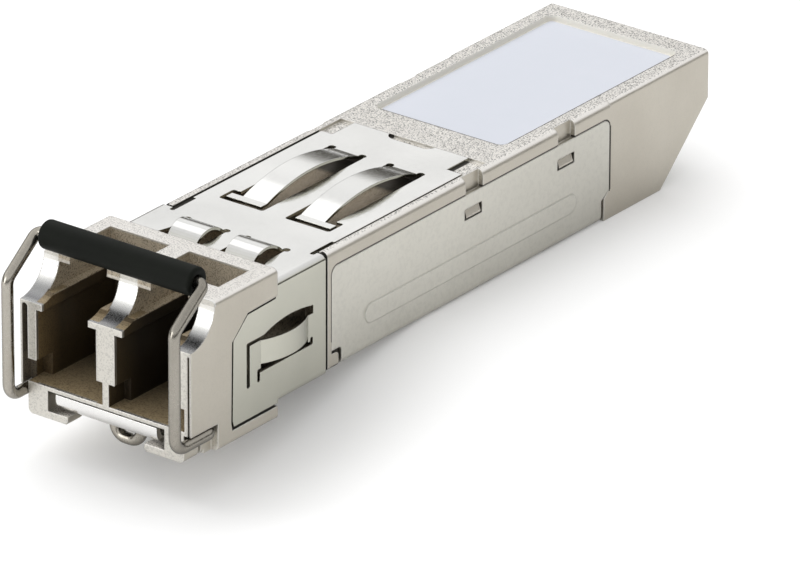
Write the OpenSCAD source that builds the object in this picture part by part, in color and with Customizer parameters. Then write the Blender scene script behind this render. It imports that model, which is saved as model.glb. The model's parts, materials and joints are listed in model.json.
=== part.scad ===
// Pluggable optical transceiver module with two receptacle ports, a bail latch and a card edge.
// X runs across the module, Y from the nose to the rear, Z up from the body's bottom plane.
// Parts are drawn with Y = 0 on the nose's front face. Each node is then moved forward by the
// nose length, so that Y = 0 ends up at the cage stop.

/* [Overall envelope] */
// Overall length, nose front face to rear edge
overall_l = 56.8; // [56.2:0.1:57.4]
// Length of the nose that stays outside the cage
nose_l = 9.0; // [8.9:0.05:9.1]
// Width of the body inside the cage
body_w = 13.4; // [13.3:0.02:13.5]
// Height of the body inside the cage
body_h = 8.5; // [8.4:0.02:8.6]
// Width of the nose
nose_w = 14.0; // [13.94:0.02:14.1]
// Top of the nose above the bottom plane
nose_top = 9.48; // [9.4:0.02:9.6]
// Bottom of the nose below the bottom plane
nose_drop = 1.15; // [1.1:0.01:1.2]
// Edge rounding of the castings
cast_r = 0.35; // [0.25:0.05:0.45]

/* [Receptacle] */
// Distance between the two port axes
port_pitch = 6.25; // [6.15:0.01:6.3]
// Height of the port axes above the bottom plane
port_z = 3.7; // [3.68:0.01:3.72]
// Radius of the ferrule bore
ferrule_r = 0.6255; // [0.6255:0.0005:0.63]
// Outer radius of a port barrel
barrel_r = 1.45; // [1.35:0.01:1.47]
// Distance from the nose face to the barrel tips
barrel_y = 5.5; // [5.2:0.1:5.7]
// Half width of the web between the ports
web_half = 0.75; // [0.65:0.05:0.75]
// Outer half width of a port
bay_out = 5.7; // [5.65:0.05:5.75]
// Height of the port floor
bay_floor = 1.1; // [1.08:0.01:1.14]
// Depth of the ports
bay_depth = 8.2; // [7.9:0.1:8.4]

/* [Latch and bail] */
// Wire radius of the bail
wire_r = 0.4; // [0.36:0.01:0.4]
// Distance from the nose face to the bail pivot
pivot_y = 2.33; // [2.32:0.01:2.34]
// Height of the bail pivot
pivot_z = 0.36; // [0.35:0.01:0.37]
// Half distance between the bail legs
leg_x = 6.83; // [6.81:0.01:6.85]
// Height of the bail grip
grip_z = 11.0; // [10.9:0.1:11.1]
// Radius of the bail sleeve
sleeve_r = 1.0; // [0.9:0.05:1.0]
// Half length of the bail sleeve
sleeve_x = 6.2; // [5.8:0.05:6.2]
// Half width of the latch boss
boss_x = 1.3; // [1.25:0.01:1.32]
// Height of the latch boss below the bottom plane
boss_h = 0.45; // [0.4:0.01:0.5]
// Distance from the cage stop to the latch shoulder
shoulder = 2.65; // [2.6:0.01:2.7]
// Thickness of the latch actuator
act_t = 0.4; // [0.3:0.02:0.4]

/* [Sheet parts] */
// Thickness of the bottom cover
cover_t = 0.25; // [0.2:0.01:0.26]
// Height of the bottom cover
cover_h = 7.3; // [7.2:0.02:7.32]
// Front edge of the bottom cover
cover_y0 = 15.1; // [15.05:0.01:15.2]
// Rear edge of the bottom cover
cover_y1 = 45.5; // [45.4:0.02:45.52]
// Thickness of the collar
collar_t = 0.2; // [0.15:0.01:0.2]
// Rear edge of the collar's band
band_y1 = 14.25; // [14.2:0.01:14.3]
// Sideways offset of the collar's springs
collar_off = 0.2; // [0.1:0.02:0.2]
// Rear edge of the collar's top tongue
tongue_y1 = 32.4; // [32.2:0.1:32.6]
// Height of the large top springs above the tongue
bow_big = 0.88; // [0.7:0.02:1.1]
// Height of the small top springs above the band
bow_small = 0.62; // [0.5:0.02:0.7]
// Height of the side springs above the side panels
bow_side = 0.62; // [0.4:0.02:0.66]

/* [Board] */
// Board thickness
pcb_t = 1.0; // [0.9:0.05:1.0]
// Height of the board's underside
pcb_z = 2.25; // [2.25:0.01:2.3]
// Width of the board's card edge
edge_w = 9.2; // [9.1:0.02:9.25]
// Spacing of the card edge contacts
pad_pitch = 0.8; // [0.78:0.01:0.8]

/* [Hidden] */
$fn = 48;

body_half = body_w / 2;
nose_half = nose_w / 2;
port_x = port_pitch / 2;
shoulder_y = nose_l + shoulder;

seam = 0.03;                              // gap between the casting and the sheet parts
skin_x = body_half - cover_t - seam;      // casting side under the cover
band_x = body_half + 0.15;                // outside of the collar band
band_bottom = -0.1;
core_x = band_x - collar_t - 0.02;        // casting side under the collar
core_top = body_h - collar_t - 0.02;      // casting top under the collar
tongue_z = body_h - collar_t;             // underside of the collar's top
cover_corner = 0.6;                       // corner radius of the cover's sides

pcb_top = pcb_z + pcb_t;
pcb_y0 = 17.2;
pcb_y1 = shoulder_y + 41.8;
open_y = shoulder_y + 34.6;               // front end of the card edge shroud
shroud_z = pcb_top + 2.0;
ceiling_z = 7.35;                         // ceiling of the board cavity
cavity_x = 5.45;
ic_x = 2.6;                               // the two front chips, under the heat spreader
ic_y = 22.5;

package_black = [0.12, 0.12, 0.13];
contact_gold = [0.86, 0.66, 0.28];
barrel_grey = [0.72, 0.73, 0.75];
can_gold = [0.82, 0.72, 0.45];
pin_gold = [0.90, 0.76, 0.36];
flex_amber = [0.72, 0.40, 0.12];
pad_grey = [0.55, 0.60, 0.66];

// ---------- helpers ----------
module at_stop() translate([0, -nose_l, 0]) children();
module box(x0, x1, y0, y1, z0, z1)
  translate([x0, y0, z0]) cube([x1 - x0, y1 - y0, z1 - z0]);
module both_sides() {
  children();
  mirror([1, 0, 0]) children();
}
// mirrored copies about the centre line of the collar's springs
module collar_pair() {
  children();
  translate([2 * collar_off, 0, 0]) mirror([1, 0, 0]) children();
}
// section in X and Z, run along Y
module along_y(y0, y1)
  translate([0, y1, 0]) rotate([90, 0, 0]) linear_extrude(y1 - y0) children();
// section in Y and Z, run along X
module along_x(x0, x1)
  translate([x0, 0, 0]) rotate([90, 0, 90]) linear_extrude(x1 - x0) children();
// section in X and Y, run along Z
module along_z(z0, z1) translate([0, 0, z0]) linear_extrude(z1 - z0) children();
// rectangle between two corners, with rounded corners
module rounded(x0, y0, x1, y1, radius) {
  translate([x0 + radius, y0]) square([x1 - x0 - 2 * radius, y1 - y0]);
  translate([x0, y0 + radius]) square([x1 - x0, y1 - y0 - 2 * radius]);
  for (x = [x0 + radius, x1 - radius], y = [y0 + radius, y1 - radius])
    translate([x, y]) circle(radius, $fn = 32);
}
module rod_y(x, z, y0, y1, radius)
  translate([x, y0, z]) rotate([-90, 0, 0]) cylinder(h = y1 - y0, r = radius);
module rod_x(y, z, x0, x1, radius)
  translate([x0, y, z]) rotate([0, 90, 0]) cylinder(h = x1 - x0, r = radius);
module ring(radius, wall) difference() {
  circle(radius);
  circle(radius - wall);
}
// right-hand points, followed by their mirror image in reverse order
function mirrored(half) =
  concat(half, [for (i = [len(half) - 1 : -1 : 0]) [-half[i][0], half[i][1]]]);

// radius of a circular arch from half its span and its rise
function arch_radius(half_span, rise) = (half_span * half_span + rise * rise) / (2 * rise);
// arched collar strip in Y and Z, its crown at the given rise above level z
module arch(y0, y1, z, rise) {
  half_span = (y1 - y0) / 2;
  radius = arch_radius(half_span, rise);
  intersection() {
    translate([y0 + half_span, z + rise - radius]) ring(radius, collar_t, $fn = 180);
    translate([y0 - 0.6, z]) square([y1 - y0 + 0.9, rise + 0.2]);
  }
}

// ---------- wire sweep: straight runs and true round bends ----------
function unit(v) = v / norm(v);
function turn(a, b, c) = acos(max(-1, min(1, unit(b - a) * unit(c - b))));
// length that the bend at point i takes from each of its two runs
function bend_trim(points, bends, i) = (i == 0 || i == len(points) - 1) ? 0
  : bends[i] * tan(turn(points[i - 1], points[i], points[i + 1]) / 2);
module wire(points, bends, radius) {
  for (i = [0 : len(points) - 2]) {
    run = points[i + 1] - points[i];
    dir = unit(run);
    trim = bend_trim(points, bends, i);
    length = norm(run) - trim - bend_trim(points, bends, i + 1);
    if (length > 0.001)
      translate(points[i] + dir * trim)
        rotate([0, acos(dir[2]), atan2(dir[1], dir[0])])
          cylinder(h = length, r = radius, $fn = 20);
  }
  for (i = [1 : len(points) - 2]) {
    dir = unit(points[i] - points[i - 1]);
    next = unit(points[i + 1] - points[i]);
    start = points[i] - dir * bend_trim(points, bends, i);
    inward = unit(next - dir * (next * dir));
    centre = start + inward * bends[i];
    out = -inward;
    axis = cross(out, dir);
    multmatrix([[out[0], dir[0], axis[0], centre[0]],
                [out[1], dir[1], axis[1], centre[1]],
                [out[2], dir[2], axis[2], centre[2]],
                [0, 0, 0, 1]])
      rotate_extrude(angle = turn(points[i - 1], points[i], points[i + 1]), $fn = 48)
        translate([bends[i], 0]) circle(radius, $fn = 20);
  }
}

// ---------- main housing ----------
// Cutters run past the faces that they open.
pocket_x = 4.8;             // half width of the actuator pocket under the nose
channel_x = 3.15;           // half width of the channel behind it
gap_y0 = 1.45;              // gap in the strips under the actuator
gap_y1 = pivot_y + 0.44;
latch_roof = 0.82;          // top of the pockets under the nose

module front_groove(x0, width, height) along_y(-1, 0.9) {
  translate([x0, 0.5]) square([width, height]);
  translate([x0 + width / 2, 0.5 + height]) circle(width / 2);
}
module port_cuts() {
  both_sides() {
    // port, then the steps in its roof
    box(web_half, bay_out, -1, bay_depth, bay_floor, 6.3);
    box(1.4, 5.2, -1, 6.5, 6.2, 7.2);
    box(0.8, bay_out, 6.5, bay_depth, 6.2, 7.2);
    box(0.8, bay_out, -1, 7.75, 7.15, 8.85);
    // opening through the nose's top
    box(1.8, 4.85, -1, 4.6, 8.7, 10);
    box(0.8, bay_out, 4.5, 7.75, 8.7, 10);
    // low reliefs at the port's mouth, inner and outer
    box(0.25, web_half + 0.01, -1, 1.65, bay_floor, 2.7);
    box(bay_out - 0.01, 6.45, -1, 1.65, bay_floor, 2.7);
    rod_y(port_x, port_z, bay_depth - 0.5, 9.7, barrel_r + 0.05);
    // outer corner of the foot
    along_y(-1, 2.0) difference() {
      translate([6.02, -nose_drop - 0.5]) square([0.5, 0.88]);
      translate([6.02, -nose_drop + 0.38]) circle(0.38);
    }
  }
  // groove in the front end of each side wall, wide on the left and narrow on the right
  front_groove(-6.86, 0.46, 5.84);
  front_groove(6.71, 0.16, 5.9);
  // hollow across the nose's top front edge
  rod_x(-0.1, nose_top - 0.13, -8, 8, 2.6);
}
module latch_cuts() {
  box(-pocket_x, pocket_x, -1, 5.9, -3, latch_roof);
  box(-pocket_x, pocket_x, 5.8, nose_l + 0.01, -0.63, 0);
  box(-channel_x, channel_x, 5.8, cover_y0 + 0.1, -3, 0.55);
  both_sides() {
    // clearance for the bail leg, then the seat of the pivot
    box(6.4, 8, -1, gap_y1, -3, latch_roof);
    box(4.7, 6.41, gap_y0, 1.72, -3, latch_roof);
    box(4.7, 6.41, 1.72, gap_y1, pivot_z - 0.16, latch_roof);
    rod_x(pivot_y, pivot_z, 4.7, 6.41, wire_r + 0.05);
  }
}
// strips under the edges of the actuator
module latch_strips() {
  both_sides() for (span = [[0, gap_y0], [gap_y1, nose_l]])
    along_y(span[0], span[1]) difference() {
      translate([channel_x, -nose_drop]) square([1.8, nose_drop - 0.63]);
      translate([channel_x, -nose_drop]) square([0.12, 0.12]);
    }
}
// outline in Y and Z of the collar's side panel, enlarged by grow for its pocket
module panel_outline(grow) polygon([
  [nose_l + 0.2, 7.35 + grow * 0.67],
  [6.08 - grow * 0.5, 7.26 + grow * 0.67],
  [4.61 - grow, 5.96 + grow * 0.1],
  [4.5 - grow, 0.3],
  [4.62 - grow, -0.12 - grow / 3],
  [nose_l + 0.2, -0.12 - grow / 3]]);
module side_pockets() both_sides() {
  along_x(core_x, 8) panel_outline(0.36);
  box(6.15, 8, 6.25, 13.0, 1.95, 5.82);
}
module rear_solid() intersection() {
  along_x(-body_half, body_half) polygon([
    [cover_y1 + 0.06, body_h], [cover_y1 + 0.06, 2.15], [44.95, 1.6], [44.95, 0],
    [51.4, 0], [overall_l, 5.0], [overall_l, body_h]]);
  along_y(40, overall_l + 1) rounded(-body_half, -2, body_half, body_h, cast_r);
}
// full-width top of the body, above the cover's sides
module rail_section() intersection() {
  polygon(mirrored([[skin_x, 7.0], [skin_x, cover_h + seam],
    [body_half, cover_h + seam], [body_half, body_h + 0.1]]));
  rounded(-body_half, 0, body_half, body_h, 0.5);
}
// fills the cover's rounded upper corner; corner_y is the centre of the rounding
module corner_fill(y0, length, corner_y) difference() {
  translate([y0, cover_h - cover_corner]) square([length, 0.66]);
  translate([corner_y, cover_h - cover_corner]) circle(cover_corner + seam);
}
module full_section() rounded(-body_half, 0, body_half, 9, 0.4);
module mid_solid() {
  along_y(nose_l - 0.5, cover_y0 - seam) rounded(-core_x, 0.12, core_x, core_top, 0.3);
  along_y(cover_y0 - 0.2, 45.7) rounded(-skin_x, cover_t + seam, skin_x, 7.7, 0.3);
  along_y(band_y1 + 0.2, cover_y1 + 0.5) rail_section();
  // full-width ring between the collar and the cover
  intersection() {
    box(-body_half, body_half, band_y1 + 0.2, cover_y0 - seam, 0, 8);
    along_y(band_y1, cover_y0) full_section();
  }
  both_sides() along_x(skin_x - 0.1, body_half) {
    corner_fill(cover_y0 - 0.05, 0.65, cover_y0 + cover_corner);
    corner_fill(cover_y1 - cover_corner, 0.7, cover_y1 - cover_corner);
  }
  // tab below the cover's front corner
  intersection() {
    along_x(-body_half, body_half) rounded(13, -1, cover_y0 + 0.7, 1.12, 0.3);
    along_y(cover_y0 - 0.2, cover_y0 + 1) full_section();
  }
  // catches in the cover's windows
  both_sides() for (y = [29.55, 39.8])
    along_y(y, y + 1.6) polygon([[skin_x - 0.1, 5.62], [skin_x - 0.1, 6.3],
      [skin_x + 0.08, 6.25], [body_half - 0.02, 5.72], [body_half - 0.02, 5.62]]);
}
module collar_seat_cuts() {
  // seat of the collar's tongue
  box(-5.88, 6.14, nose_l, tongue_y1 + seam, core_top, 10);
  // slot behind the collar's band
  both_sides() box(6.25, 8, band_y1 + 0.02, band_y1 + 0.41, -1, 10);
  // seat of the band's top
  box(-core_x - 1, core_x + 1, nose_l, band_y1 + seam, core_top, 10);
  // side slits and spring pockets
  collar_pair() {
    box(5.8, 6.05, 13.8, 16.3, core_top - 0.4, 10);
    box(0.95, 4.8, 17.2, 28.75, core_top - 0.6, 10);
    box(0.9, 4.65, 9.3, 13.4, core_top - 0.8, 10);
  }
}
// optical chamber, board cavity and card edge shroud
module cavity_cuts() {
  box(-5.95, 5.95, 9.6, cover_y0 + 0.2, 0.85, 7.0);
  box(-cavity_x, cavity_x, cover_y0, open_y + 0.1, 0.85, ceiling_z);
  box(-cavity_x, cavity_x, cover_y0 + 0.7, open_y + 0.1, -1, ceiling_z);
  box(-body_half + 0.7, body_half - 0.7, open_y - 0.3, overall_l + 1, -1, shroud_z);
}
module main_housing() color([0.80, 0.78, 0.74]) {
  difference() {
    union() {
      difference() {
        union() {
          along_y(0, nose_l) rounded(-nose_half, -nose_drop, nose_half, nose_top, cast_r);
          mid_solid();
          rear_solid();
        }
        latch_cuts();
      }
      latch_strips();
    }
    port_cuts();
    side_pockets();
    collar_seat_cuts();
    cavity_cuts();
    // label recess
    along_z(8.1, 10) rounded(-5.4, 35.3, 5.4, 55.2, 0.6);
    both_sides() {
      // notches in the rails over the cover's windows
      for (y = [29.5, 39.7]) box(6.28, 8, y, y + 1.9, 7.2, 9);
      // slit behind the cover's lower corner
      box(skin_x - 0.2, 8, 44.6, 44.95, -1, 1.6);
    }
  }
  // board ledges and heat spreader
  both_sides() for (y = [19.5, 28, 36.5])
    box(4.9, cavity_x + 0.2, y, y + 3, pcb_top + 0.02, ceiling_z + 0.2);
  box(-4.4, 4.4, ic_y - 2.3, ic_y + 2.3, pcb_top + 1.35, ceiling_z + 0.2);
  // latch boss
  along_x(-boss_x, boss_x) polygon([[shoulder_y, 0.7], [shoulder_y, -boss_h],
    [shoulder_y + 0.7, -boss_h], [shoulder_y + 2.6, 0.25], [shoulder_y + 2.6, 0.7]]);
}

// ---------- bottom cover ----------
module cover_side() difference() {
  rounded(cover_y0, -2, cover_y1, cover_h, cover_corner);
  // cut-back lower rear corner
  polygon([[46, 2.1], [cover_y1 - 0.01, 2.1], [44.65, 1.55], [44.65, -3], [46, -3]]);
  // windows for the casting's catches
  for (y = [29.4, 39.65]) rounded(y, 5.5, y + 1.92, 6.3, 0.1);
}
module bottom_cover() color([0.78, 0.77, 0.74]) {
  difference() {
    intersection() {
      along_y(cover_y0, cover_y1) difference() {
        rounded(-body_half, 0, body_half, 9, 0.5);
        rounded(-body_half + cover_t, cover_t, body_half - cover_t, 10, 0.25);
      }
      along_x(-8, 8) cover_side();
    }
    // cut back around the casting's tab
    both_sides() along_x(6.0, 8) rounded(13, -4, 16.13, 1.36, 0.3);
    box(-6.01, 6.01, 14, cover_y0 + 0.75, -1, 1.3);
    // hollow behind the long bead
    both_sides() along_x(skin_x, body_half - cover_t + 0.06)
      rounded(18.75, 2.05, 41.6, 3.15, 0.54);
  }
  // long bead
  both_sides() along_x(body_half - 0.05, body_half + 0.08)
    rounded(18.6, 1.9, 41.75, 3.3, 0.69);
}

// ---------- collar ----------
module big_spring() {
  along_x(1.6, 3.58) arch(17.9, 28.7, tongue_z, bow_big + collar_t);
  // foot at the free end
  box(1.6, 4.5, 17.78, 18.42, tongue_z, body_h);
}
module small_spring() intersection() {
  along_x(0.9, 4.4) arch(10.55, 13.45, tongue_z, bow_small + collar_t);
  // tapered plan
  along_z(8, 10) polygon([[1.4, 10], [3.65, 10], [4.12, 14], [1.1, 14]]);
}
// finger arched outwards from the side panel
module side_spring() {
  y0 = 7.1;
  half_span = (12.75 - y0) / 2;
  rise = bow_side + collar_t;
  radius = arch_radius(half_span, rise);
  inner_x = band_x - collar_t;
  along_z(3.3, 4.96) intersection() {
    translate([inner_x + rise - radius, y0 + half_span]) ring(radius, collar_t, $fn = 180);
    translate([inner_x, 6.6]) square([2, 6.6]);
  }
}
// windows around the top springs, with relief holes at their roots
module top_windows() collar_pair() along_z(8, 9) {
  rounded(1.1, 17.3, 4.75, 18.9, 0.2);
  rounded(1.1, 17.3, 4.15, 28.2, 0.2);
  for (x = [1.35, 3.88]) translate([x, 28.3]) circle(0.27);
  rounded(0.95, 8.5, 4.3, 13.3, 0.15);
  polygon([[4.2, 8.5], [4.6, 8.5], [4.6, 10.6], [4.3, 11.6], [4.2, 11.6]]);
  for (x = [1.05, 4.28]) translate([x, 13.42]) circle(0.26);
  rounded(5.8, 13.85, 6.14, 16.3, 0.14);
}
// slots around the side springs
module side_slots() both_sides() along_x(6, 8) {
  rounded(5.95, 2.05, 6.3, 5.24, 0.15);
  rounded(5.95, 4.98, 12.95, 5.24, 0.12);
  rounded(12.65, 4.98, 12.95, 5.52, 0.14);
  rounded(7.05, 2.1, 7.35, 3.0, 0.14);
  rounded(7.05, 2.72, 12.9, 3.0, 0.13);
  rounded(12.6, 2.72, 12.9, 3.26, 0.14);
  translate([7.42, 2.9]) square([4.98, 2.2]);
  // bowed upper edge of the window
  intersection() {
    translate([10.7, 5.74 - 8.86]) circle(8.86, $fn = 180);
    translate([7.3, 4.9]) square([5.65, 1]);
  }
}
module emi_collar() color([0.84, 0.83, 0.81]) {
  difference() {
    union() {
      along_y(nose_l + seam, band_y1) difference() {
        rounded(-band_x, band_bottom, band_x, body_h, 0.45);
        rounded(-band_x + collar_t, band_bottom + collar_t, band_x - collar_t, tongue_z, 0.25);
      }
      box(-5.66, 6.0, band_y1 - 0.2, tongue_y1, tongue_z, body_h);
      both_sides() along_x(band_x - collar_t, band_x) panel_outline(0);
    }
    // opening under the latch
    box(-3.3, 3.3, nose_l - 1, 20, -2, 1);
    // rear corners of the tongue
    both_sides() along_z(8, 9) translate([4.75, 30.0]) square([3, 5]);
    // rear notch of the tongue
    along_z(8, 9) translate([0.1, tongue_y1 + 0.15]) rounded(-1.9, -0.75, 1.9, 2, 0.7);
    top_windows();
    side_slots();
  }
  collar_pair() {
    big_spring();
    small_spring();
  }
  both_sides() side_spring();
}
module label() color([0.86, 0.88, 0.93])
  along_z(8.1, 8.19) rounded(-5.15, 35.8, 5.0, 54.9, 0.3);

// ---------- board ----------
edge_x = edge_w / 2;
board_x = 5.3;
neck_y = open_y - 0.8;      // where the board narrows to the card edge
module pcb() color([0.10, 0.36, 0.20]) along_z(pcb_z, pcb_top) difference() {
  polygon(mirrored([[board_x - 0.3, pcb_y0], [board_x, pcb_y0 + 0.3],
    [board_x, neck_y - 0.3], [board_x - 0.3, neck_y], [edge_x, neck_y],
    [edge_x, pcb_y1 - 0.5], [edge_x - 0.5, pcb_y1]]));
  for (x = [-4.4, 4.4]) translate([x, 31.5]) circle(0.4);
}
module contacts(z0, z1) along_z(z0, z1) for (i = [0 : 9])
  translate([(i - 4.5) * pad_pitch - 0.27, pcb_y1 - 2.9]) square([0.54, 2.5]);
module contacts_top() color(contact_gold) contacts(pcb_top, pcb_top + 0.035);
module contacts_bottom() color(contact_gold) contacts(pcb_z - 0.035, pcb_z);

// component on the board's top, centred on x and y
module chip(x, y, size_x, size_y, height)
  box(x - size_x / 2, x + size_x / 2, y - size_y / 2, y + size_y / 2, pcb_top, pcb_top + height);
// square package with a round dimple near its front left corner
module package(x, y, size, height, dot_inset, dot_r) difference() {
  chip(x, y, size, size, height);
  translate([x - dot_inset, y - dot_inset, pcb_top + height - 0.05]) cylinder(h = 1, r = dot_r);
}
module laser_driver_ic() color(package_black) package(-ic_x, ic_y, 3, 0.8, 1.1, 0.15);
module limiting_amp_ic() color(package_black) package(ic_x, ic_y, 3, 0.8, 1.1, 0.15);
module microcontroller_ic() color(package_black) package(0, 33.5, 5, 0.9, 1.9, 0.2);
module chip_capacitors() color([0.66, 0.54, 0.40]) for (side = [-1, 1]) {
  for (i = [0 : 3]) chip(side * (0.9 + 0.95 * i), 26.6, 0.5, 1.0, 0.5);
  for (i = [0 : 2]) chip(side * 3.75, 31.6 + 1.5 * i, 1.0, 0.5, 0.5);
  chip(side * 2.9, 46.4, 1.25, 2.0, 0.9);
}
module chip_resistors() color([0.08, 0.08, 0.09]) {
  for (i = [0 : 4]) chip(-3.2 + 1.6 * i, 38.6, 0.5, 1.0, 0.35);
  for (i = [0 : 2], side = [-1, 1]) chip(side * 0.9, 41.2 + 1.7 * i, 0.5, 1.0, 0.35);
}
module ferrite_beads() color([0.24, 0.24, 0.26])
  for (side = [-1, 1], y = [41.6, 43.6]) chip(side * 2.9, y, 1.6, 0.8, 0.8);
module thermal_pad_top() color(pad_grey) for (x = [-ic_x, ic_x])
  box(x - 1.4, x + 1.4, ic_y - 1.4, ic_y + 1.4, pcb_top + 0.82, pcb_top + 1.33);
module thermal_pad_bottom() color(pad_grey)
  box(-4, 4, 20.6, 26.6, cover_t + 0.02, pcb_z - 0.02);

// ---------- optical sub-assemblies: tosa on the left, rosa on the right ----------
sleeve_bore_r = 0.82;       // bore that holds the split sleeve and the stub
insert_r = 0.81;            // outside of the split sleeve and the stub
can_y1 = 15.3;
flex_t = 0.12;
flex_y = 15.9;              // front of the flex's upright part

module barrel(x, bore_r) difference() {
  union() {
    rod_y(x, port_z, barrel_y, 9.95, barrel_r);
    rod_y(x, port_z, 9.9, 10.7, 2.3);
    rod_y(x, port_z, 10.7, 12.2, 2.55);
  }
  rod_y(x, port_z, barrel_y - 1, 10.2, bore_r);
  // lead-in
  translate([x, barrel_y - 0.01, port_z]) rotate([-90, 0, 0])
    cylinder(h = 0.26, r1 = 1.1, r2 = bore_r + 0.001);
  rod_y(x, port_z, 10.1, 12.5, 1.9);
}
module tosa_barrel() color(barrel_grey) barrel(-port_x, sleeve_bore_r);
module rosa_barrel() color(barrel_grey) barrel(port_x, ferrule_r);
module tosa_split_sleeve() color([0.95, 0.95, 0.93]) difference() {
  rod_y(-port_x, port_z, barrel_y + 0.3, barrel_y + 3.4, insert_r);
  rod_y(-port_x, port_z, barrel_y, barrel_y + 4, ferrule_r);
  // the slit
  box(-port_x - 0.08, -port_x + 0.08, barrel_y, barrel_y + 4, port_z + 0.3, port_z + 1.2);
}
// stub in its holder, behind the sleeve
module tosa_fibre_stub() color([0.97, 0.97, 0.96])
  rod_y(-port_x, port_z, barrel_y + 3.5, 10.05, insert_r);
module can(x) {
  rod_y(x, port_z, 10.9, 12.3, 1.85);
  rod_y(x, port_z, 12.25, 14.2, 2.3);
  rod_y(x, port_z, 14.2, can_y1, 2.75);
}
module tosa_can() color(can_gold) can(-port_x);
module rosa_can() color(can_gold) can(port_x);
// four rods on the pin circle
module pin_rods(x, y0, y1, radius) for (a = [45 : 90 : 315])
  rod_y(x + 0.9 * cos(a), port_z + 0.9 * sin(a), y0, y1, radius);
module tosa_pins() color(pin_gold) pin_rods(-port_x, can_y1, 16.6, 0.22);
module rosa_pins() color(pin_gold) pin_rods(port_x, can_y1, 16.6, 0.22);
// upright on the pins, bend, and tail under the board
module flex(x) {
  x0 = x - 1.7;
  x1 = x + 1.7;
  difference() {
    union() {
      box(x0, x1, flex_y, flex_y + flex_t, pcb_z + 0.35, 5.6);
      along_x(x0, x1) intersection() {
        translate([flex_y + 0.45, pcb_z + 0.33]) ring(0.45, flex_t);
        translate([15.8, pcb_z - 0.5]) square([0.55, 0.86]);
      }
      box(x0, x1, 16.34, 20.2, pcb_z - flex_t, pcb_z - 0.001);
    }
    pin_rods(x, 15, 17, 0.25);
  }
}
module tosa_flex() color(flex_amber) flex(-port_x);
module rosa_flex() color(flex_amber) flex(port_x);
module osa_retainer() color([0.16, 0.16, 0.17]) difference() {
  along_y(12.35, 13.5) rounded(-5.85, 0.95, 5.85, 6.9, 0.4);
  for (x = [-port_x, port_x]) rod_y(x, port_z, 12, 14, 2.35);
}
module emi_gasket() color([0.30, 0.30, 0.31]) difference() {
  along_y(9.61, 9.89) rounded(-5.8, 1.0, 5.8, 6.6, 0.4);
  for (x = [-port_x, port_x]) rod_y(x, port_z, 9, 11, barrel_r + 0.05);
}

// ---------- latch ----------
plate_z0 = -0.5;            // actuator plate under the nose
plate_z1 = plate_z0 + act_t;
lip_x = 4.15;
tail_x = 3.05;
tail_z0 = 0.05;
tail_z1 = tail_z0 + act_t;
crank_x = 1.1;              // bail crank in the actuator's window
crank_z = -2.05;
leg_y = -1.47;
lean_l = 3.9;               // the grip leans back on a 3-4-5 slope of this length
kink_z = grip_z - lean_l * 0.6;
grip_y = leg_y + lean_l * 0.8;

module latch_actuator() color([0.83, 0.82, 0.80]) {
  // front lip and its bend
  box(-lip_x, lip_x, 0.02, act_t + 0.02, 0.39, 0.72);
  along_x(-lip_x, lip_x) intersection() {
    translate([0.92, 0.4]) ring(0.9, act_t);
    translate([-0.1, -0.6]) square([1.03, 1.0]);
  }
  along_z(plate_z0, plate_z1) difference() {
    union() {
      translate([-lip_x, 0.91]) square([2 * lip_x, 2]);
      rounded(-4.7, 1.5, 4.7, 5.6, 0.4);
    }
    rounded(-crank_x - 0.55, 1.1, crank_x + 0.55, 4.1, 0.3);
  }
  // step up into the body
  along_x(-tail_x, tail_x) polygon([[5.0, plate_z0], [5.6, plate_z0], [6.5, tail_z0],
    [9.3, tail_z0], [9.3, tail_z1], [6.35, tail_z1], [5.45, plate_z1], [5.0, plate_z1]]);
  // tines with 45 degree ends
  both_sides() along_x(boss_x + 0.2, tail_x) polygon([[9.2, tail_z0], [10.95, tail_z0],
    [11.2, tail_z0 + 0.25], [11.2, tail_z1], [9.2, tail_z1]]);
}
// right half of the bail, grip to crank: x, y, z, bend radius
bail_half = [
  [0, grip_y, grip_z, 0],
  [leg_x, grip_y, grip_z, 0.5],
  [leg_x, leg_y, kink_z, 0.8],
  [leg_x, leg_y, pivot_z, 0.95],
  [leg_x, pivot_y, pivot_z, 0.5],
  [crank_x, pivot_y, pivot_z, 0.5],
  [crank_x, pivot_y, crank_z, 0.9]];
// down the left half, then back up the right half
bail_path = concat([for (p = bail_half) [-p[0], p[1], p[2], p[3]]],
  [for (i = [len(bail_half) - 1 : -1 : 0]) bail_half[i]]);
module bail_wire() color([0.66, 0.63, 0.58])
  wire([for (p = bail_path) [p[0], p[1], p[2]]], [for (p = bail_path) p[3]], wire_r);
module bail_sleeve() color([0.05, 0.055, 0.05]) difference() {
  rod_x(grip_y, grip_z, -sleeve_x + 0.1, sleeve_x + 0.1, sleeve_r);
  rod_x(grip_y, grip_z, -sleeve_x - 1, sleeve_x + 1, wire_r + 0.02);
}

at_stop() main_housing();
at_stop() bottom_cover();
at_stop() emi_collar();
at_stop() label();
at_stop() pcb();
at_stop() contacts_top();
at_stop() contacts_bottom();
at_stop() tosa_barrel();
at_stop() tosa_split_sleeve();
at_stop() tosa_fibre_stub();
at_stop() tosa_can();
at_stop() tosa_pins();
at_stop() tosa_flex();
at_stop() rosa_barrel();
at_stop() rosa_can();
at_stop() rosa_pins();
at_stop() rosa_flex();
at_stop() osa_retainer();
at_stop() emi_gasket();
at_stop() laser_driver_ic();
at_stop() limiting_amp_ic();
at_stop() microcontroller_ic();
at_stop() chip_capacitors();
at_stop() chip_resistors();
at_stop() ferrite_beads();
at_stop() thermal_pad_top();
at_stop() thermal_pad_bottom();
at_stop() latch_actuator();
at_stop() bail_wire();
at_stop() bail_sleeve();
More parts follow.
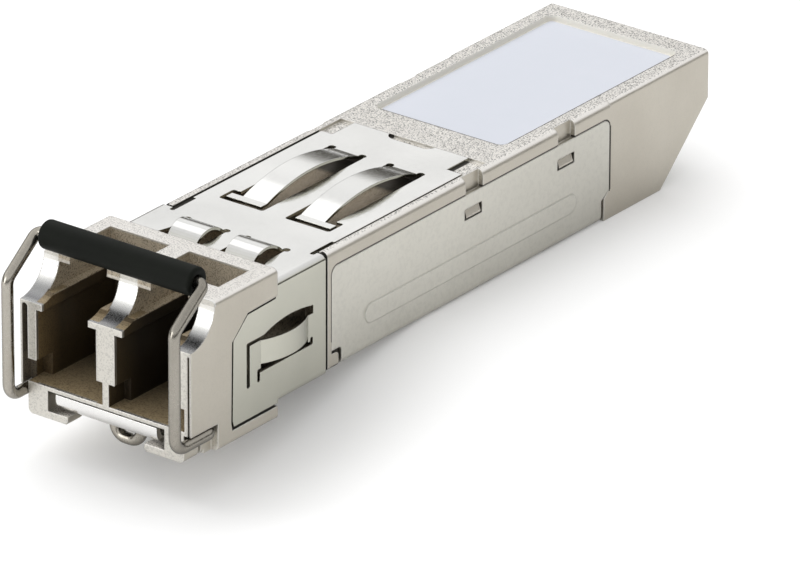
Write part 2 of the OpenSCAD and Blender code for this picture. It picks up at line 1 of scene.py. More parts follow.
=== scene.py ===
"""A plug-in metal module with two front ports and a wire bail, resting on a white studio floor.

X runs across it (+X is right), -Y is the front with the ports and the bail, +Z is up.
Lengths are in metres, except where a table or an argument is said to be in millimetres.
"""
import bpy, bmesh, json, math, random
from mathutils import Vector, Matrix

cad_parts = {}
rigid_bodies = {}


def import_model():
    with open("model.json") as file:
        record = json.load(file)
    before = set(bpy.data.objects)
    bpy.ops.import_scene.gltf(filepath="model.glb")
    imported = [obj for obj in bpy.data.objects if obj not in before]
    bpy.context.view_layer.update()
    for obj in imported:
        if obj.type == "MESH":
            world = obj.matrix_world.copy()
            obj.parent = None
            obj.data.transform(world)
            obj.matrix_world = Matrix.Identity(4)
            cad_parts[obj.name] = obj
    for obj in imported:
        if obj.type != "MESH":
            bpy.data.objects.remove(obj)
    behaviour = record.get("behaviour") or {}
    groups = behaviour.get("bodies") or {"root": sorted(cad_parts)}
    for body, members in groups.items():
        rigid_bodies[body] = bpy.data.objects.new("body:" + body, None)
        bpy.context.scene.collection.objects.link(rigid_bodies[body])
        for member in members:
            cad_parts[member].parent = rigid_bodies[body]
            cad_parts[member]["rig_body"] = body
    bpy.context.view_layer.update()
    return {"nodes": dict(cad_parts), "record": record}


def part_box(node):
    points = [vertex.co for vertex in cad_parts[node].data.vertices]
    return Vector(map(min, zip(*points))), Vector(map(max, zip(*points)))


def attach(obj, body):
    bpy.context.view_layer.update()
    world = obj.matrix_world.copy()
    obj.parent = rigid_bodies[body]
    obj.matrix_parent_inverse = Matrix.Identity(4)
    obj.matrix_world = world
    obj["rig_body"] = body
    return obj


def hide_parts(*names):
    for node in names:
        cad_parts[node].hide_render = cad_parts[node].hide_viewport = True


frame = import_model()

random.seed(7)
NODES = frame["nodes"]
SLOT = {part["node"]: part["material_slot"] for part in frame["record"]["subparts"]}
MM = 0.001
WHITE = (1.0, 1.0, 1.0)


def mm(*lengths):
    return tuple(length * MM for length in lengths)


# ------------------------------------------------------------------ shader nodes
class Shader:
    """Adds nodes to a tree. An input takes a socket, a number or a three-part colour or vector."""

    def __init__(self, tree):
        self.tree = tree

    def feed(self, node, inputs):
        for key, value in inputs.items():
            socket = node.inputs[key]
            if isinstance(value, bpy.types.NodeSocket):
                self.tree.links.new(value, socket)
            else:
                socket.default_value = (*value, 1.0) if socket.type == "RGBA" else value

    def node(self, kind, inputs=None, **settings):
        node = self.tree.nodes.new("ShaderNode" + kind)
        for key, value in settings.items():
            setattr(node, key, value)
        self.feed(node, inputs or {})
        return node

    def coords(self, scale=(1, 1, 1)):
        place = self.node("TexCoord").outputs["Object"]
        return self.node("Mapping", {"Scale": scale, "Vector": place}).outputs["Vector"]

    def axes(self, vector):
        return self.node("SeparateXYZ", {0: vector}).outputs

    def noise(self, point, scale, detail, roughness):
        return self.node("TexNoise", {"Scale": scale, "Detail": detail, "Roughness": roughness,
                                      "Vector": point}).outputs["Fac"]

    def ramp(self, factor, *stops):
        """Each stop is a position and a colour, or a position and a grey level."""
        node = self.node("ValToRGB", {"Fac": factor})
        elements = node.color_ramp.elements
        while len(elements) < len(stops):
            elements.new(0.5)
        for element, (position, colour) in zip(elements, stops):
            element.position = position
            element.color = (*(colour if isinstance(colour, tuple) else (colour,) * 3), 1.0)
        return node.outputs["Color"]

    def remap(self, value, span, to=(0.0, 1.0)):
        return self.node("MapRange", {"From Min": span[0], "From Max": span[1], "To Min": to[0],
                                      "To Max": to[1], "Value": value}).outputs["Result"]

    def mix(self, factor, a, b, mode="MIX"):
        # sockets 6 and 7 are the two colours
        return self.node("Mix", {0: factor, 6: a, 7: b},
                         data_type="RGBA", blend_type=mode).outputs[2]

    def tint(self, colour, by):
        return self.mix(1.0, colour, by, "MULTIPLY")

    def math(self, operation, a, b=0.0):
        return self.node("Math", {0: a, 1: b}, operation=operation).outputs[0]

    def times(self, a, b):
        return self.math("MULTIPLY", a, b)

    def inverse(self, mask):
        return self.math("SUBTRACT", 1.0, mask)

    def union(self, mask, *others):
        for other in others:
            mask = self.math("MAXIMUM", mask, other)
        return mask

    def bump(self, height, strength, distance, normal=None):
        inputs = {"Strength": strength, "Distance": distance, "Height": height}
        if normal is not None:
            inputs["Normal"] = normal
        self.feed(self.bsdf, {"Normal": self.node("Bump", inputs).outputs["Normal"]})

    def facing(self, axis, span):
        """0 to 1 as the face normal's part along the axis crosses the span."""
        normal = self.node("NewGeometry").outputs["True Normal"]
        return self.remap(self.axes(normal)[axis], span)

    def soft_edge(self, radius, samples=6):
        """Shading normal rounded over the edges, as tumbling and plating leave them."""
        return self.node("Bevel", {"Radius": radius}, samples=samples).outputs["Normal"]

    def edges(self, radius):
        """0 to 1 along the rounded edges, where pale wear and a painted highlight go."""
        rounded = self.soft_edge(radius, samples=4)
        flat = self.node("NewGeometry").outputs["True Normal"]
        dot = self.node("VectorMath", {0: rounded, 1: flat}, operation="DOT_PRODUCT")
        return self.remap(dot.outputs["Value"], (0.995, 0.8))

    def paint_grazing_shade(self, colour, *stops):
        """Painted shade on the faces seen at a grazing angle."""
        weight = self.node("LayerWeight", {"Blend": 0.5}).outputs["Facing"]
        return self.tint(colour, self.ramp(weight, *stops))

    def box(self, point, x, y, z, soft=0.00008, mirror=True):
        """1 inside a box given by its ranges in millimetres, mirrored over X unless told not to."""
        across, along, height = self.axes(point)
        if mirror:
            across = self.math("ABSOLUTE", across)
        inside = None
        for value, (low, high) in zip((across, along, height), (x, y, z)):
            slab = self.times(self.remap(value, (low * MM - soft, low * MM)),
                              self.remap(value, (high * MM, high * MM + soft), to=(1.0, 0.0)))
            inside = slab if inside is None else self.times(inside, slab)
        return inside

    def outline(self, point, centre, half, radius, width, feather=0.02):
        """1 in a thin line just outside a rounded rectangle in the Y-Z plane, in millimetres."""
        _, y, z = self.axes(point)
        outside = []
        for value, middle, reach in zip((y, z), centre, half):
            offset = self.math("ABSOLUTE", self.math("SUBTRACT", value, middle * MM))
            past = self.math("SUBTRACT", offset, (reach - radius) * MM)
            outside.append(self.math("MAXIMUM", past, 0.0))
        squares = [self.times(part, part) for part in outside]
        gap = self.math("SQRT", self.math("ADD", *squares))
        gap = self.math("SUBTRACT", gap, radius * MM)
        return self.times(self.remap(gap, mm(-feather, 0.0)),
                          self.remap(gap, mm(width, width + feather), to=(1.0, 0.0)))


def new_material(name):
    material = bpy.data.materials.new(name)
    material.use_nodes = True
    material.node_tree.nodes.clear()
    sh = Shader(material.node_tree)
    sh.output = sh.node("OutputMaterial")
    sh.bsdf = sh.node("BsdfPrincipled")
    sh.feed(sh.output, {"Surface": sh.bsdf.outputs["BSDF"]})
    return material, sh


# ------------------------------------------------------------------ cast nickel
CRISP = 0.00001  # fade width at the border of a thin shadow line

# regions of the casting: X, Y and Z ranges in millimetres
REGION = {
    "cove": ((-1.0, 7.2), (-8.97, -6.4), (6.70, 9.45)),
    "port": ((0.70, 5.76), (-8.75, 0.9), (1.05, 7.22)),
    "inner_notch": ((0.24, 0.76), (-8.92, -7.3), (1.09, 2.72)),
    "outer_notch": ((5.69, 6.46), (-8.92, -7.3), (1.09, 2.72)),
    "port_roof": ((0.76, 5.76), (-8.8, -1.2), (7.1, 9.3)),
    "pocket": ((0.35, 4.9), (0.2, 19.9), (7.3, 8.262)),
    "pocket_front": ((0.5, 5.2), (8.0, 9.75), (7.3, 8.262)),
    "pocket_rear": ((0.5, 5.2), (17.6, 20.0), (7.3, 8.262)),
    "side": ((6.1, 6.6), (-3.0, 4.1), (1.9, 5.9)),
    "shroud": ((-1.0, 6.05), (0.2, 35.6), (-0.5, 7.36)),
    "groove": ((6.38, 6.88), (-8.95, -8.0), (0.4, 6.62)),
    "side_outline": ((6.35, 7.0), (5.5, 37.0), (2.0, 7.6)),
    "label_recess": ((-1.0, 5.43), (26.27, 46.23), (8.05, 8.485)),
}
# painted shade in the joints left and right: around the collar's side panel, behind its band, at
# the cover's front corner, beside its top, and around the two side windows
JOINTS = (
    ((6.55, 6.93), (-4.95, 0.25), (-0.4, 7.65)),
    ((6.20, 6.67), (5.10, 5.67), (-0.6, 8.46)),
    ((6.30, 6.66), (6.02, 7.30), (-0.1, 1.52)),
    ((5.60, 6.17), (0.1, 21.0), (8.2, 8.482)),
    ((6.20, 6.47), (20.25, 22.45), (5.35, 6.42)),
    ((6.20, 6.47), (30.5, 32.7), (5.35, 6.42)),
)
# painted shade at the edges of two notches in the top
TOP_JOINTS = (
    ((4.70, 4.98), (20.95, 23.25), (8.2, 8.47)),
    ((-1.90, -1.45), (22.4, 23.5), (8.2, 8.47)),
)
# thin shadows at the right and front edges of the label and its recess, and low on the right side
SHADOWS = (
    ((4.95, 5.11), (26.6, 46.0), (8.0, 8.2)),
    ((-5.2, 5.1), (26.66, 26.84), (8.0, 8.2)),
    ((5.39, 5.465), (26.9, 45.6), (8.44, 8.52)),
    ((-4.8, 4.8), (26.235, 26.31), (8.44, 8.52)),
    ((6.6, 6.9), (36.48, 36.67), (2.1, 6.75)),
)
WINDOW_STARTS = (20.4, 30.65)  # Y of the side windows, in millimetres

# colours of the painted shade in the casting's hollows and grooves, in the specks and between them
SHADE_SPECKLE = {
    "port_floor": ((0.16, 0.112, 0.055), (0.50, 0.385, 0.225)),
    "port_wall": ((0.055, 0.035, 0.012), (0.155, 0.105, 0.046)),
    "port_roof": ((0.07, 0.05, 0.03), (0.52, 0.44, 0.32)),
    "pocket": ((0.09, 0.068, 0.04), (0.42, 0.345, 0.25)),
    "side": ((0.02, 0.017, 0.013), (0.32, 0.28, 0.22)),
    "shroud": ((0.10, 0.085, 0.06), (0.20, 0.175, 0.13)),
    "groove": ((0.02, 0.016, 0.01), (0.15, 0.12, 0.08)),
}
JOINT_DARK = (0.022, 0.019, 0.015)
LINE_DARK = (0.030, 0.024, 0.018)
# painted light: the pale colour of the label recess, so its walls look lit
RECESS_PAINTED_LIGHT = (0.90, 0.88, 0.82)


def plating(sh, cloud, front, amount, speck):
    """Clouded nickel with painted light, pitted by the amount: faces turned up and to the front
    painted pale, the rest painted darker and warm.
    """
    tone = sh.facing("Z", (0.45, 0.68))
    base = sh.ramp(cloud, (0.3, (0.555, 0.520, 0.452)), (0.7, (0.610, 0.575, 0.505)))
    top = sh.ramp(cloud, (0.3, (0.95, 0.92, 0.875)), (0.7, (0.995, 0.97, 0.93)))
    base = sh.mix(sh.times(front, 0.45), base, (0.84, 0.83, 0.79))
    base = sh.mix(tone, base, top)
    return sh.mix(amount, base, sh.tint(base, speck))


def cove_and_edges(sh, colour, cove, z):
    """Smooth coves with painted shade, dark near their foot and pale higher up; edges pale from
    wear and a painted highlight; painted shade on faces seen at a grazing angle.
    """
    shade = sh.ramp(sh.remap(z, mm(6.7, 8.7)),
                    (0.0, (0.62, 0.62, 0.61)), (0.06, (0.20, 0.20, 0.205)),
                    (0.30, (0.42, 0.42, 0.415)), (0.55, (0.90, 0.895, 0.87)),
                    (1.0, (0.97, 0.965, 0.94)))
    colour = sh.mix(cove, colour, shade)
    wear_and_highlight = sh.times(sh.edges(radius=0.00016), 0.45)
    colour = sh.mix(wear_and_highlight, colour, (0.94, 0.925, 0.89))
    return sh.paint_grazing_shade(colour, (0.72, 1.0), (0.93, 0.35))


def hollows(sh, point, x, y, colour, speck, grain, up, cove):
    """Painted shade in the insides of the ports, the pockets under the springs and the rear shroud,
    which are painted dark.

    Returns the colour and a mask of the dull metal.
    """
    def region(name, **options):
        return sh.box(point, *REGION[name], **options)

    port = region("port")
    notch = sh.math("ADD", region("inner_notch"), region("outer_notch"))
    port = sh.union(port, notch)
    roof = sh.times(region("port_roof"), sh.inverse(cove))
    pocket = region("pocket")
    side = region("side")
    shroud = sh.times(region("shroud"), sh.inverse(port))

    # painted shade: the ports darken with depth, the right one is painted darker than the left, and
    # their roofs are painted dark too
    floor_depth = sh.remap(y, mm(-8.9, -4.0), to=(0.80, 0.30))
    wall_depth = sh.remap(y, mm(-8.9, -6.4), to=(1.0, 0.30))
    port_floor = sh.tint(sh.mix(speck, *SHADE_SPECKLE["port_floor"]), floor_depth)
    left = sh.remap(x, mm(-0.2, 0.2), to=(1.15, 0.42))
    port_wall = sh.tint(sh.mix(speck, *SHADE_SPECKLE["port_wall"]), sh.times(wall_depth, left))
    colour = sh.mix(port, colour, sh.mix(up, port_wall, port_floor))
    colour = sh.mix(sh.times(roof, 0.88), colour, sh.mix(speck, *SHADE_SPECKLE["port_roof"]))

    # painted shade in the pockets, deepest under the spring ends, and in the side slots and the
    # shroud
    ends = sh.union(region("pocket_front"), region("pocket_rear", soft=0.0006))
    pocket_colour = sh.tint(sh.mix(speck, *SHADE_SPECKLE["pocket"]),
                            sh.remap(ends, (0, 1), to=(1.0, 0.16)))
    colour = sh.mix(sh.times(pocket, 0.95), colour, pocket_colour)
    colour = sh.mix(sh.times(side, 0.95), colour, sh.mix(speck, *SHADE_SPECKLE["side"]))
    colour = sh.mix(shroud, colour, sh.mix(grain, *SHADE_SPECKLE["shroud"]))
    return colour, sh.union(port, sh.times(sh.union(pocket, roof), 0.8))


def seams(sh, point, colour, speck):
    """Shadowed joints, grooves and outlines. Returns the colour and a mask of all of them."""
    def crisp(x, y, z, soft=CRISP, **options):
        return sh.box(point, x, y, z, soft=soft, **options)

    joint = sh.union(*(crisp(*ranges) for ranges in JOINTS),
                     *(crisp(*ranges, mirror=False) for ranges in TOP_JOINTS))
    groove = crisp(*REGION["groove"])
    colour = sh.mix(sh.times(joint, 0.96), colour, JOINT_DARK)
    colour = sh.mix(sh.times(groove, 0.94), colour, sh.mix(speck, *SHADE_SPECKLE["groove"]))
    joint = sh.union(joint, groove)

    panel = sh.outline(point, centre=(21.3, 2.65), half=(15.2, 4.65), radius=0.6, width=0.10)
    line = sh.times(panel, crisp(*REGION["side_outline"]))
    for start in WINDOW_STARTS:
        outer = crisp((6.3, 6.9), (start - 0.02, start + 1.94), (5.48, 6.32))
        inner = crisp((6.3, 6.9), (start + 0.22, start + 1.80), (5.62, 6.16), soft=2 * CRISP)
        line = sh.union(line, sh.times(outer, sh.inverse(inner)))
    # painted light: the label recess painted pale, as if its walls were lit
    recess = crisp(*REGION["label_recess"])
    colour = sh.mix(recess, colour, RECESS_PAINTED_LIGHT)
    line = sh.union(line, *(crisp(*ranges, mirror=False) for ranges in SHADOWS))
    colour = sh.mix(sh.times(line, 0.93), colour, LINE_DARK)
    return colour, sh.union(joint, sh.union(line, sh.times(recess, 0.9)))


def casting():
    material, sh = new_material("cast_nickel")
    point = sh.coords()
    fine = sh.noise(point, scale=13000.0, detail=2.0, roughness=0.6)
    grain = sh.noise(point, scale=9500.0, detail=2.0, roughness=0.65)
    coarse = sh.noise(point, scale=2800.0, detail=3.0, roughness=0.6)
    cloud = sh.noise(point, scale=170.0, detail=5.0, roughness=0.55)
    up = sh.facing("Z", (0.86, 0.97))
    front = sh.facing("Y", (-0.75, -0.95))
    x, y, z = sh.axes(point)
    pits = sh.math("ADD", sh.times(grain, 0.82), sh.times(coarse, 0.18))
    speck = sh.ramp(pits, (0.38, 0.22), (0.445, 0.52), (0.49, 0.88), (0.53, 1.0))

    # pitting is strong on top, light in front, absent in the coves and weaker above them
    cove = sh.box(point, *REGION["cove"])
    amount = sh.union(sh.remap(up, (0, 1), to=(0.08, 0.92)),
                      sh.remap(front, (0, 1), to=(0.0, 0.30)))
    amount = sh.times(amount, sh.inverse(sh.times(cove, sh.inverse(front))))
    amount = sh.times(amount, sh.remap(z, mm(9.2, 9.4), to=(1.0, 0.62)))
    cove = sh.times(cove, sh.facing("Z", (0.08, 0.25)))

    colour = plating(sh, cloud, front, amount, speck)
    colour = cove_and_edges(sh, colour, cove, z)
    colour, dull = hollows(sh, point, x, y, colour, speck, grain, up, cove)
    colour, seam = seams(sh, point, colour, speck)
    dull = sh.union(dull, seam)

    # dull parts are rougher and less metallic, the coves smoother
    rough = sh.remap(grain, (0.3, 0.7), to=(0.34, 0.50))
    rough = sh.math("ADD", rough, sh.remap(dull, (0, 1), to=(0.0, 0.12)))
    rough = sh.math("SUBTRACT", rough, sh.remap(cove, (0, 1), to=(0.0, 0.14)))
    sh.feed(sh.bsdf, {"Base Color": colour, "Roughness": rough,
                      "Metallic": sh.remap(dull, (0, 1), to=(1.0, 0.25))})
    height = sh.math("ADD", sh.times(pits, 0.7), sh.times(fine, 0.3))
    height = sh.times(height, sh.remap(amount, (0, 0.92), to=(0.12, 1.0)))
    sh.bump(height, strength=0.8, distance=0.00005, normal=sh.soft_edge(0.00013))
    return material


# ------------------------------------------------------------------ other materials
def sheet(name, dark, light, rough, brush=(1, 1, 1), speck=0.25, side_shade=None, grazing_shade=0.0,
          relief=0.18, soft=0.0, fade=None):
    """Sheet metal. The side tint is painted shade on all but the upward faces, the grazing amount
    is painted shade on faces seen at a grazing angle, and fade is painted shade along an axis,
    given as the axis, a range along it in millimetres and the brightness at its end."""
    material, sh = new_material(name)
    brushed = sh.coords(brush)
    cloud = sh.noise(sh.coords(), scale=130.0, detail=4.0, roughness=0.5)
    fine = sh.noise(brushed, scale=3200.0, detail=3.0, roughness=0.6)
    colour = sh.ramp(cloud, (0.3, dark), (0.7, light))
    colour = sh.mix(speck, colour, sh.tint(colour, sh.ramp(fine, (0.35, 0.72), (0.55, 1.0))))
    # pale edges: wear, and a painted highlight along them
    wear_and_highlight = sh.times(sh.edges(radius=0.0001), 0.3)
    colour = sh.mix(wear_and_highlight, colour, (0.92, 0.91, 0.88))
    # painted shade: on all but the upward faces, along an axis, and at grazing angles
    if side_shade:
        colour = sh.tint(colour, sh.mix(sh.facing("Z", (0.45, 0.85)), side_shade, WHITE))
    if fade:
        axis, start, end, level = fade
        along = sh.axes(sh.coords())[axis]
        colour = sh.tint(colour, sh.remap(along, mm(start, end), to=(1.0, level)))
    if grazing_shade:
        colour = sh.paint_grazing_shade(colour, (0.30, 1.0), (0.85, 1.0 - grazing_shade))
    sh.feed(sh.bsdf, {"Base Color": colour, "Metallic": 1.0,
                      "Roughness": sh.remap(fine, (0.3, 0.7), to=(rough - 0.04, rough + 0.06))})
    sh.bump(fine, strength=relief, distance=0.00002, normal=sh.soft_edge(soft) if soft else None)
    return material


def board():
    """Green solder mask: traces along Y at the rear, lines across ahead of them."""
    trace_pitch, cross_pitch = 0.0008, 0.0031
    border = mm(24.0, 25.0)  # Y range where one pattern gives way to the other
    material, sh = new_material("board_mask")
    point = sh.coords()
    x, y, _ = sh.axes(point)

    def stripes(repeats, half_width):
        offset = sh.math("SUBTRACT", sh.math("FRACT", repeats), 0.5)
        return sh.remap(sh.math("ABSOLUTE", offset), half_width, to=(1.0, 0.0))

    weave = sh.noise(point, scale=2400.0, detail=3.0, roughness=0.6)
    colour = sh.ramp(weave, (0.35, (0.012, 0.115, 0.042)), (0.65, (0.028, 0.175, 0.072)))
    # the shift by 100 repeats keeps the count positive
    repeats = sh.math("ADD", sh.times(x, 1.0 / trace_pitch), 100.0)
    traces = sh.times(stripes(repeats, half_width=(0.10, 0.14)), sh.remap(y, border))
    cross = stripes(sh.times(y, 1.0 / cross_pitch), half_width=(0.03, 0.05))
    cross = sh.times(cross, sh.remap(y, border, to=(1.0, 0.0)))
    lines = sh.union(traces, cross)
    colour = sh.mix(sh.times(lines, 0.75), colour, (0.055, 0.27, 0.115))
    sh.feed(sh.bsdf, {"Base Color": colour, "Coat Weight": 0.4, "Coat Roughness": 0.15,
                      "Roughness": sh.remap(weave, (0.3, 0.7), to=(0.24, 0.36))})
    height = sh.math("ADD", sh.times(weave, 0.4), lines)
    sh.bump(height, strength=0.35, distance=0.00003)
    return material


def plain(name, dark, light, rough, metallic=0.0, grain=900.0, relief=0.2, depth=0.00002,
          specular=0.5, coat=0.0):
    """Two-tone grained surface. Relief and depth are the strength and distance of its bump."""
    material, sh = new_material(name)
    point = sh.coords()
    small = sh.noise(point, scale=grain, detail=5.0, roughness=0.6)
    large = sh.noise(point, scale=grain * 0.12, detail=3.0, roughness=0.5)
    blend = sh.math("ADD", sh.times(small, 0.5), sh.times(large, 0.5))
    sh.feed(sh.bsdf, {"Base Color": sh.ramp(blend, (0.35, dark), (0.65, light)),
                      "Roughness": sh.remap(small, (0.3, 0.7), to=(rough - 0.05, rough + 0.06)),
                      "Metallic": metallic, "Specular IOR Level": specular})
    if coat:
        sh.feed(sh.bsdf, {"Coat Weight": coat, "Coat Roughness": 0.15})
    sh.bump(small, strength=relief, distance=depth)
    return material


# by material slot; the two colours are the dark and the light tone
MATERIALS = {
    "casting": casting(),
    # the cover's colour is painted darker towards the rear, as painted shade
    "cover_sheet": sheet("cover_nickel", (0.650, 0.634, 0.573), (0.695, 0.679, 0.617),
                         rough=0.33, soft=0.00014, fade=("Y", 20.0, 34.0, 0.90)),
    # the collar carries painted shade on all but its upward faces
    "collar_sheet": sheet("collar_nickel", (0.69, 0.687, 0.672), (0.80, 0.796, 0.778),
                          rough=0.14, speck=0.06, side_shade=(0.73, 0.725, 0.645), relief=0.07,
                          soft=0.00006),
    "actuator": sheet("actuator_nickel", (0.87, 0.86, 0.84), (0.93, 0.92, 0.90),
                      rough=0.20, speck=0.04, relief=0.07, soft=0.00008),
    "label_film": plain("label_film", (0.555, 0.580, 0.640), (0.580, 0.600, 0.660),
                        rough=0.35, grain=700, relief=0.06, depth=0.00001),
    "board": board(),
    "gold": plain("gold_plate", (0.85, 0.60, 0.20), (0.93, 0.70, 0.30),
                  rough=0.2, metallic=1.0, relief=0.1),
    "machined_steel": sheet("turned_steel", (0.60, 0.61, 0.62), (0.70, 0.71, 0.72),
                            rough=0.22, brush=(1, 9, 1)),
    "ceramic": plain("zirconia", (0.86, 0.86, 0.83), (0.93, 0.93, 0.91),
                     rough=0.18, grain=700, relief=0.05, coat=0.3),
    "can_metal": plain("can_metal", (0.72, 0.60, 0.34), (0.82, 0.70, 0.44),
                       rough=0.25, metallic=1.0, grain=800, relief=0.1),
    "polyimide": plain("polyimide", (0.50, 0.20, 0.03), (0.62, 0.28, 0.06),
                       rough=0.3, grain=500, relief=0.1),
    "black_plastic": plain("black_plastic", (0.03, 0.03, 0.032), (0.05, 0.05, 0.052),
                           rough=0.5, grain=1200, relief=0.3),
    "gasket": plain("gasket", (0.10, 0.10, 0.11), (0.17, 0.17, 0.18),
                    rough=0.7, grain=1500, relief=0.5, depth=0.00005),
    "chip_epoxy": plain("chip_epoxy", (0.018, 0.018, 0.02), (0.035, 0.035, 0.037),
                        rough=0.55, grain=2600, relief=0.4),
    "capacitor": plain("capacitor", (0.38, 0.27, 0.16), (0.48, 0.36, 0.23),
                       rough=0.5, grain=1800, relief=0.3),
    "ferrite": plain("ferrite", (0.06, 0.06, 0.07), (0.11, 0.11, 0.12),
                     rough=0.6, grain=1800, relief=0.4),
    "thermal": plain("thermal_pad", (0.30, 0.36, 0.44), (0.36, 0.42, 0.50),
                     rough=0.8, grain=1600, relief=0.5, depth=0.00005),
    # the wire carries painted shade at grazing angles and on its right leg
    "wire": sheet("wire_nickel", (0.43, 0.40, 0.345), (0.50, 0.47, 0.415),
                  rough=0.24, grazing_shade=0.66, fade=("X", -2.0, 4.0, 0.78)),
    "sleeve_rubber": plain("sleeve_rubber", (0.005, 0.006, 0.0045), (0.009, 0.0105, 0.008),
                           rough=0.55, relief=0.25, specular=0.10),
}


def paint(obj, material):
    obj.data.materials.clear()
    obj.data.materials.append(material)


def smooth(mesh):
    for face in mesh.polygons:
        face.use_smooth = True


# ------------------------------------------------------------------ pieces
def rolled_copy(node, width, segments, angle):
    """A copy of a CAD node with its flat faces merged and its edges rolled over."""
    source = NODES[node]
    mesh = source.data.copy()
    mesh.name = node + "_mesh"
    bm = bmesh.new()
    bm.from_mesh(mesh)
    bmesh.ops.remove_doubles(bm, verts=bm.verts, dist=2e-6)
    bmesh.ops.dissolve_limit(bm, angle_limit=math.radians(0.6), use_dissolve_boundaries=False,
                             verts=bm.verts, edges=bm.edges, delimit={"NORMAL"})
    bmesh.ops.recalc_face_normals(bm, faces=bm.faces)
    bm.to_mesh(mesh)
    bm.free()
    skin = bpy.data.objects.new(node + "_skin", mesh)
    bpy.context.scene.collection.objects.link(skin)
    smooth(mesh)
    bevel = skin.modifiers.new("edge", "BEVEL")
    bevel.width = width
    bevel.segments = segments
    bevel.limit_method = "ANGLE"
    bevel.angle_limit = math.radians(angle)
    bevel.use_clamp_overlap = True
    bevel.miter_outer = "MITER_ARC"
    bevel.harden_normals = False
    weighted = skin.modifiers.new("weight", "WEIGHTED_NORMAL")
    weighted.keep_sharp = True
    weighted.weight = 60
    paint(skin, MATERIALS[SLOT[node]])
    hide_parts(node)
    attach(skin, source["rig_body"])


for name, obj in NODES.items():
    paint(obj, MATERIALS[SLOT[name]])
rolled_copy("bail_sleeve", width=0.00022, segments=3, angle=28.0)
paint(NODES["latch_actuator"], MATERIALS["actuator"])
smooth(NODES["bail_wire"].data)


# ------------------------------------------------------------------ floor
# The body rests on the floor, which sinks under the deeper nose to stay below the open bail.
FLOOR_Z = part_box("bottom_cover")[0][2] - 0.00002
SINK = 0.00405
# in millimetres: the fully sunk rectangle, the slope around it and the grid lines
SUNK_HALF_X = 8.0
SUNK_Y = (-16.5, -5.0)
SLOPE = 22.0
GRID_X = [-2000, -400, -100, -50, *range(-34, 35), 50, 100, 400, 2000]
GRID_Y = [-2000, -400, -120, -60, *range(-42, 22), 40, 100, 400, 2000]


def floor_z(x, y):
    distance = math.hypot(max(abs(x) - SUNK_HALF_X, 0.0), max(SUNK_Y[0] - y, y - SUNK_Y[1], 0.0))
    t = min(max(1.0 - distance / SLOPE, 0.0), 1.0)
    return FLOOR_Z - SINK * (t * t * (3.0 - 2.0 * t))


def floor_material():
    """White, with a faint glow that only the camera sees."""
    material, sh = new_material("floor_white")
    cloud = sh.noise(sh.coords(), scale=30.0, detail=4.0, roughness=0.5)
    sh.feed(sh.bsdf, {"Base Color": sh.ramp(cloud, (0.3, 0.86), (0.7, 0.88)),
                      "Roughness": 0.7, "Specular IOR Level": 0.1})
    surface = sh.bsdf.outputs["BSDF"]
    camera_ray = sh.node("LightPath").outputs["Is Camera Ray"]
    glow = sh.node("Emission", {"Strength": 0.125}).outputs["Emission"]
    lit = sh.node("AddShader", {0: surface, 1: glow}).outputs["Shader"]
    both = sh.node("MixShader", {"Fac": camera_ray, 1: surface, 2: lit})
    sh.feed(sh.output, {"Surface": both.outputs["Shader"]})
    return material


def build_floor():
    material = floor_material()
    row = len(GRID_X)
    corners = [j * row + i for j in range(len(GRID_Y) - 1) for i in range(row - 1)]
    mesh = bpy.data.meshes.new("floor")
    mesh.from_pydata([(x * MM, y * MM, floor_z(x, y)) for y in GRID_Y for x in GRID_X], [],
                     [(c, c + 1, c + row + 1, c + row) for c in corners])
    smooth(mesh)
    floor = bpy.data.objects.new("floor", mesh)
    bpy.context.scene.collection.objects.link(floor)
    paint(floor, material)


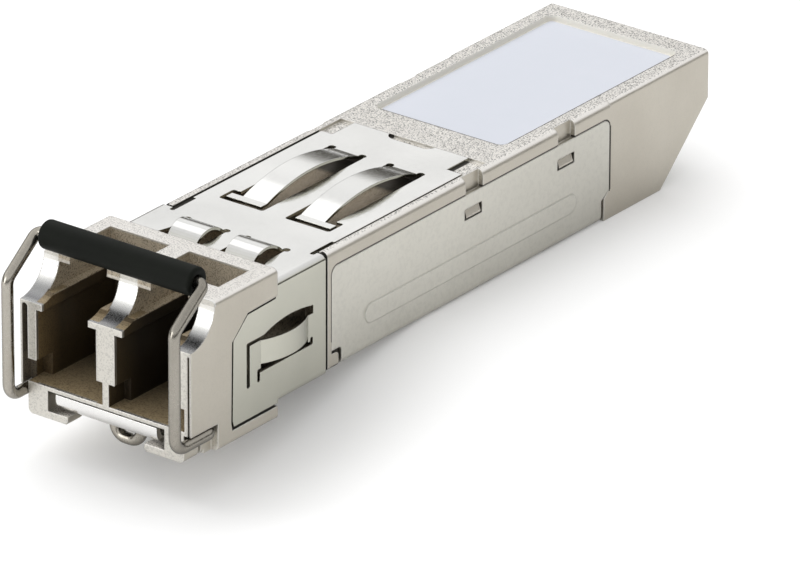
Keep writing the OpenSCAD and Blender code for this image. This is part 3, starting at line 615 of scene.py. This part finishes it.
# ------------------------------------------------------------------ light
def build_world():
    """Studio dome: bright overhead, a dark band at the horizon, a little dimmer on the right."""
    world = bpy.data.worlds.new("studio")
    bpy.context.scene.world = world
    world.use_nodes = True
    sh = Shader(world.node_tree)
    x, _, z = sh.axes(sh.node("TexCoord").outputs["Generated"])
    dome = sh.ramp(sh.remap(z, (-0.2, 1.0)),
                   (0.0, (0.10, 0.095, 0.085)), (0.26, (0.09, 0.085, 0.075)),
                   (0.37, (0.30, 0.295, 0.28)), (0.47, (1.05, 1.05, 1.045)),
                   (0.60, 1.05), (0.80, 0.86), (1.0, 0.86))
    side = sh.remap(x, (-1.0, 1.0), to=(1.12, 0.80))
    camera_ray = sh.node("LightPath").outputs["Is Camera Ray"]
    dome = sh.tint(dome, sh.tint(WHITE, side))
    sh.feed(world.node_tree.nodes["Background"],
            {"Color": sh.mix(camera_ray, dome, WHITE), "Strength": 1.0})


def area(name, place, target, size, energy):
    light = bpy.data.lights.new(name, "AREA")
    light.shape = "RECTANGLE"
    light.size = light.size_y = size
    light.energy = energy
    obj = bpy.data.objects.new(name, light)
    obj.location = place
    obj.rotation_euler = (Vector(target) - Vector(place)).to_track_quat("-Z", "Y").to_euler()
    bpy.context.scene.collection.objects.link(obj)
    return obj


def build_lights():
    # the key shapes the floor's shadow; a weaker card near it gives the highlights on the metal
    key = area("key", (-0.25, 0.13, 0.38), target=(0, 0.02, 0), size=0.62, energy=1.62)
    key.visible_glossy = False
    card = area("card", (-0.26, 0.13, 0.40), target=(0, 0.02, 0), size=0.22, energy=0.08)
    card.visible_diffuse = False
    area("front", (-0.16, -0.36, 0.12), target=(0, 0, 0), size=0.20, energy=0.35)


# ------------------------------------------------------------------ camera
def build_camera():
    """Long lens looking down from the front right."""
    azimuth, elevation, roll = (math.radians(angle) for angle in (37.187, 24.484, 0.193))
    distance = 685.681  # millimetres, as is the target
    target = Vector((-5.059, 28.879, -5.099))
    back = Vector((math.sin(azimuth) * math.cos(elevation),
                   -math.cos(azimuth) * math.cos(elevation), math.sin(elevation)))
    level = Vector((math.cos(azimuth), math.sin(azimuth), 0))
    upright = back.cross(level)
    right = level * math.cos(roll) + upright * math.sin(roll)
    up = -level * math.sin(roll) + upright * math.cos(roll)
    place = (target + back * distance) * MM
    data = bpy.data.cameras.new("camera")
    data.sensor_width = 36.0
    data.lens = 457.77435
    data.clip_start = 0.05
    data.clip_end = 20
    camera = bpy.data.objects.new("camera", data)
    camera.matrix_world = Matrix((*zip(right, up, back, place), (0, 0, 0, 1)))
    bpy.context.scene.collection.objects.link(camera)
    bpy.context.scene.camera = camera
    bpy.context.scene.view_settings.view_transform = "Standard"


build_floor()
build_world()
build_lights()
build_camera()
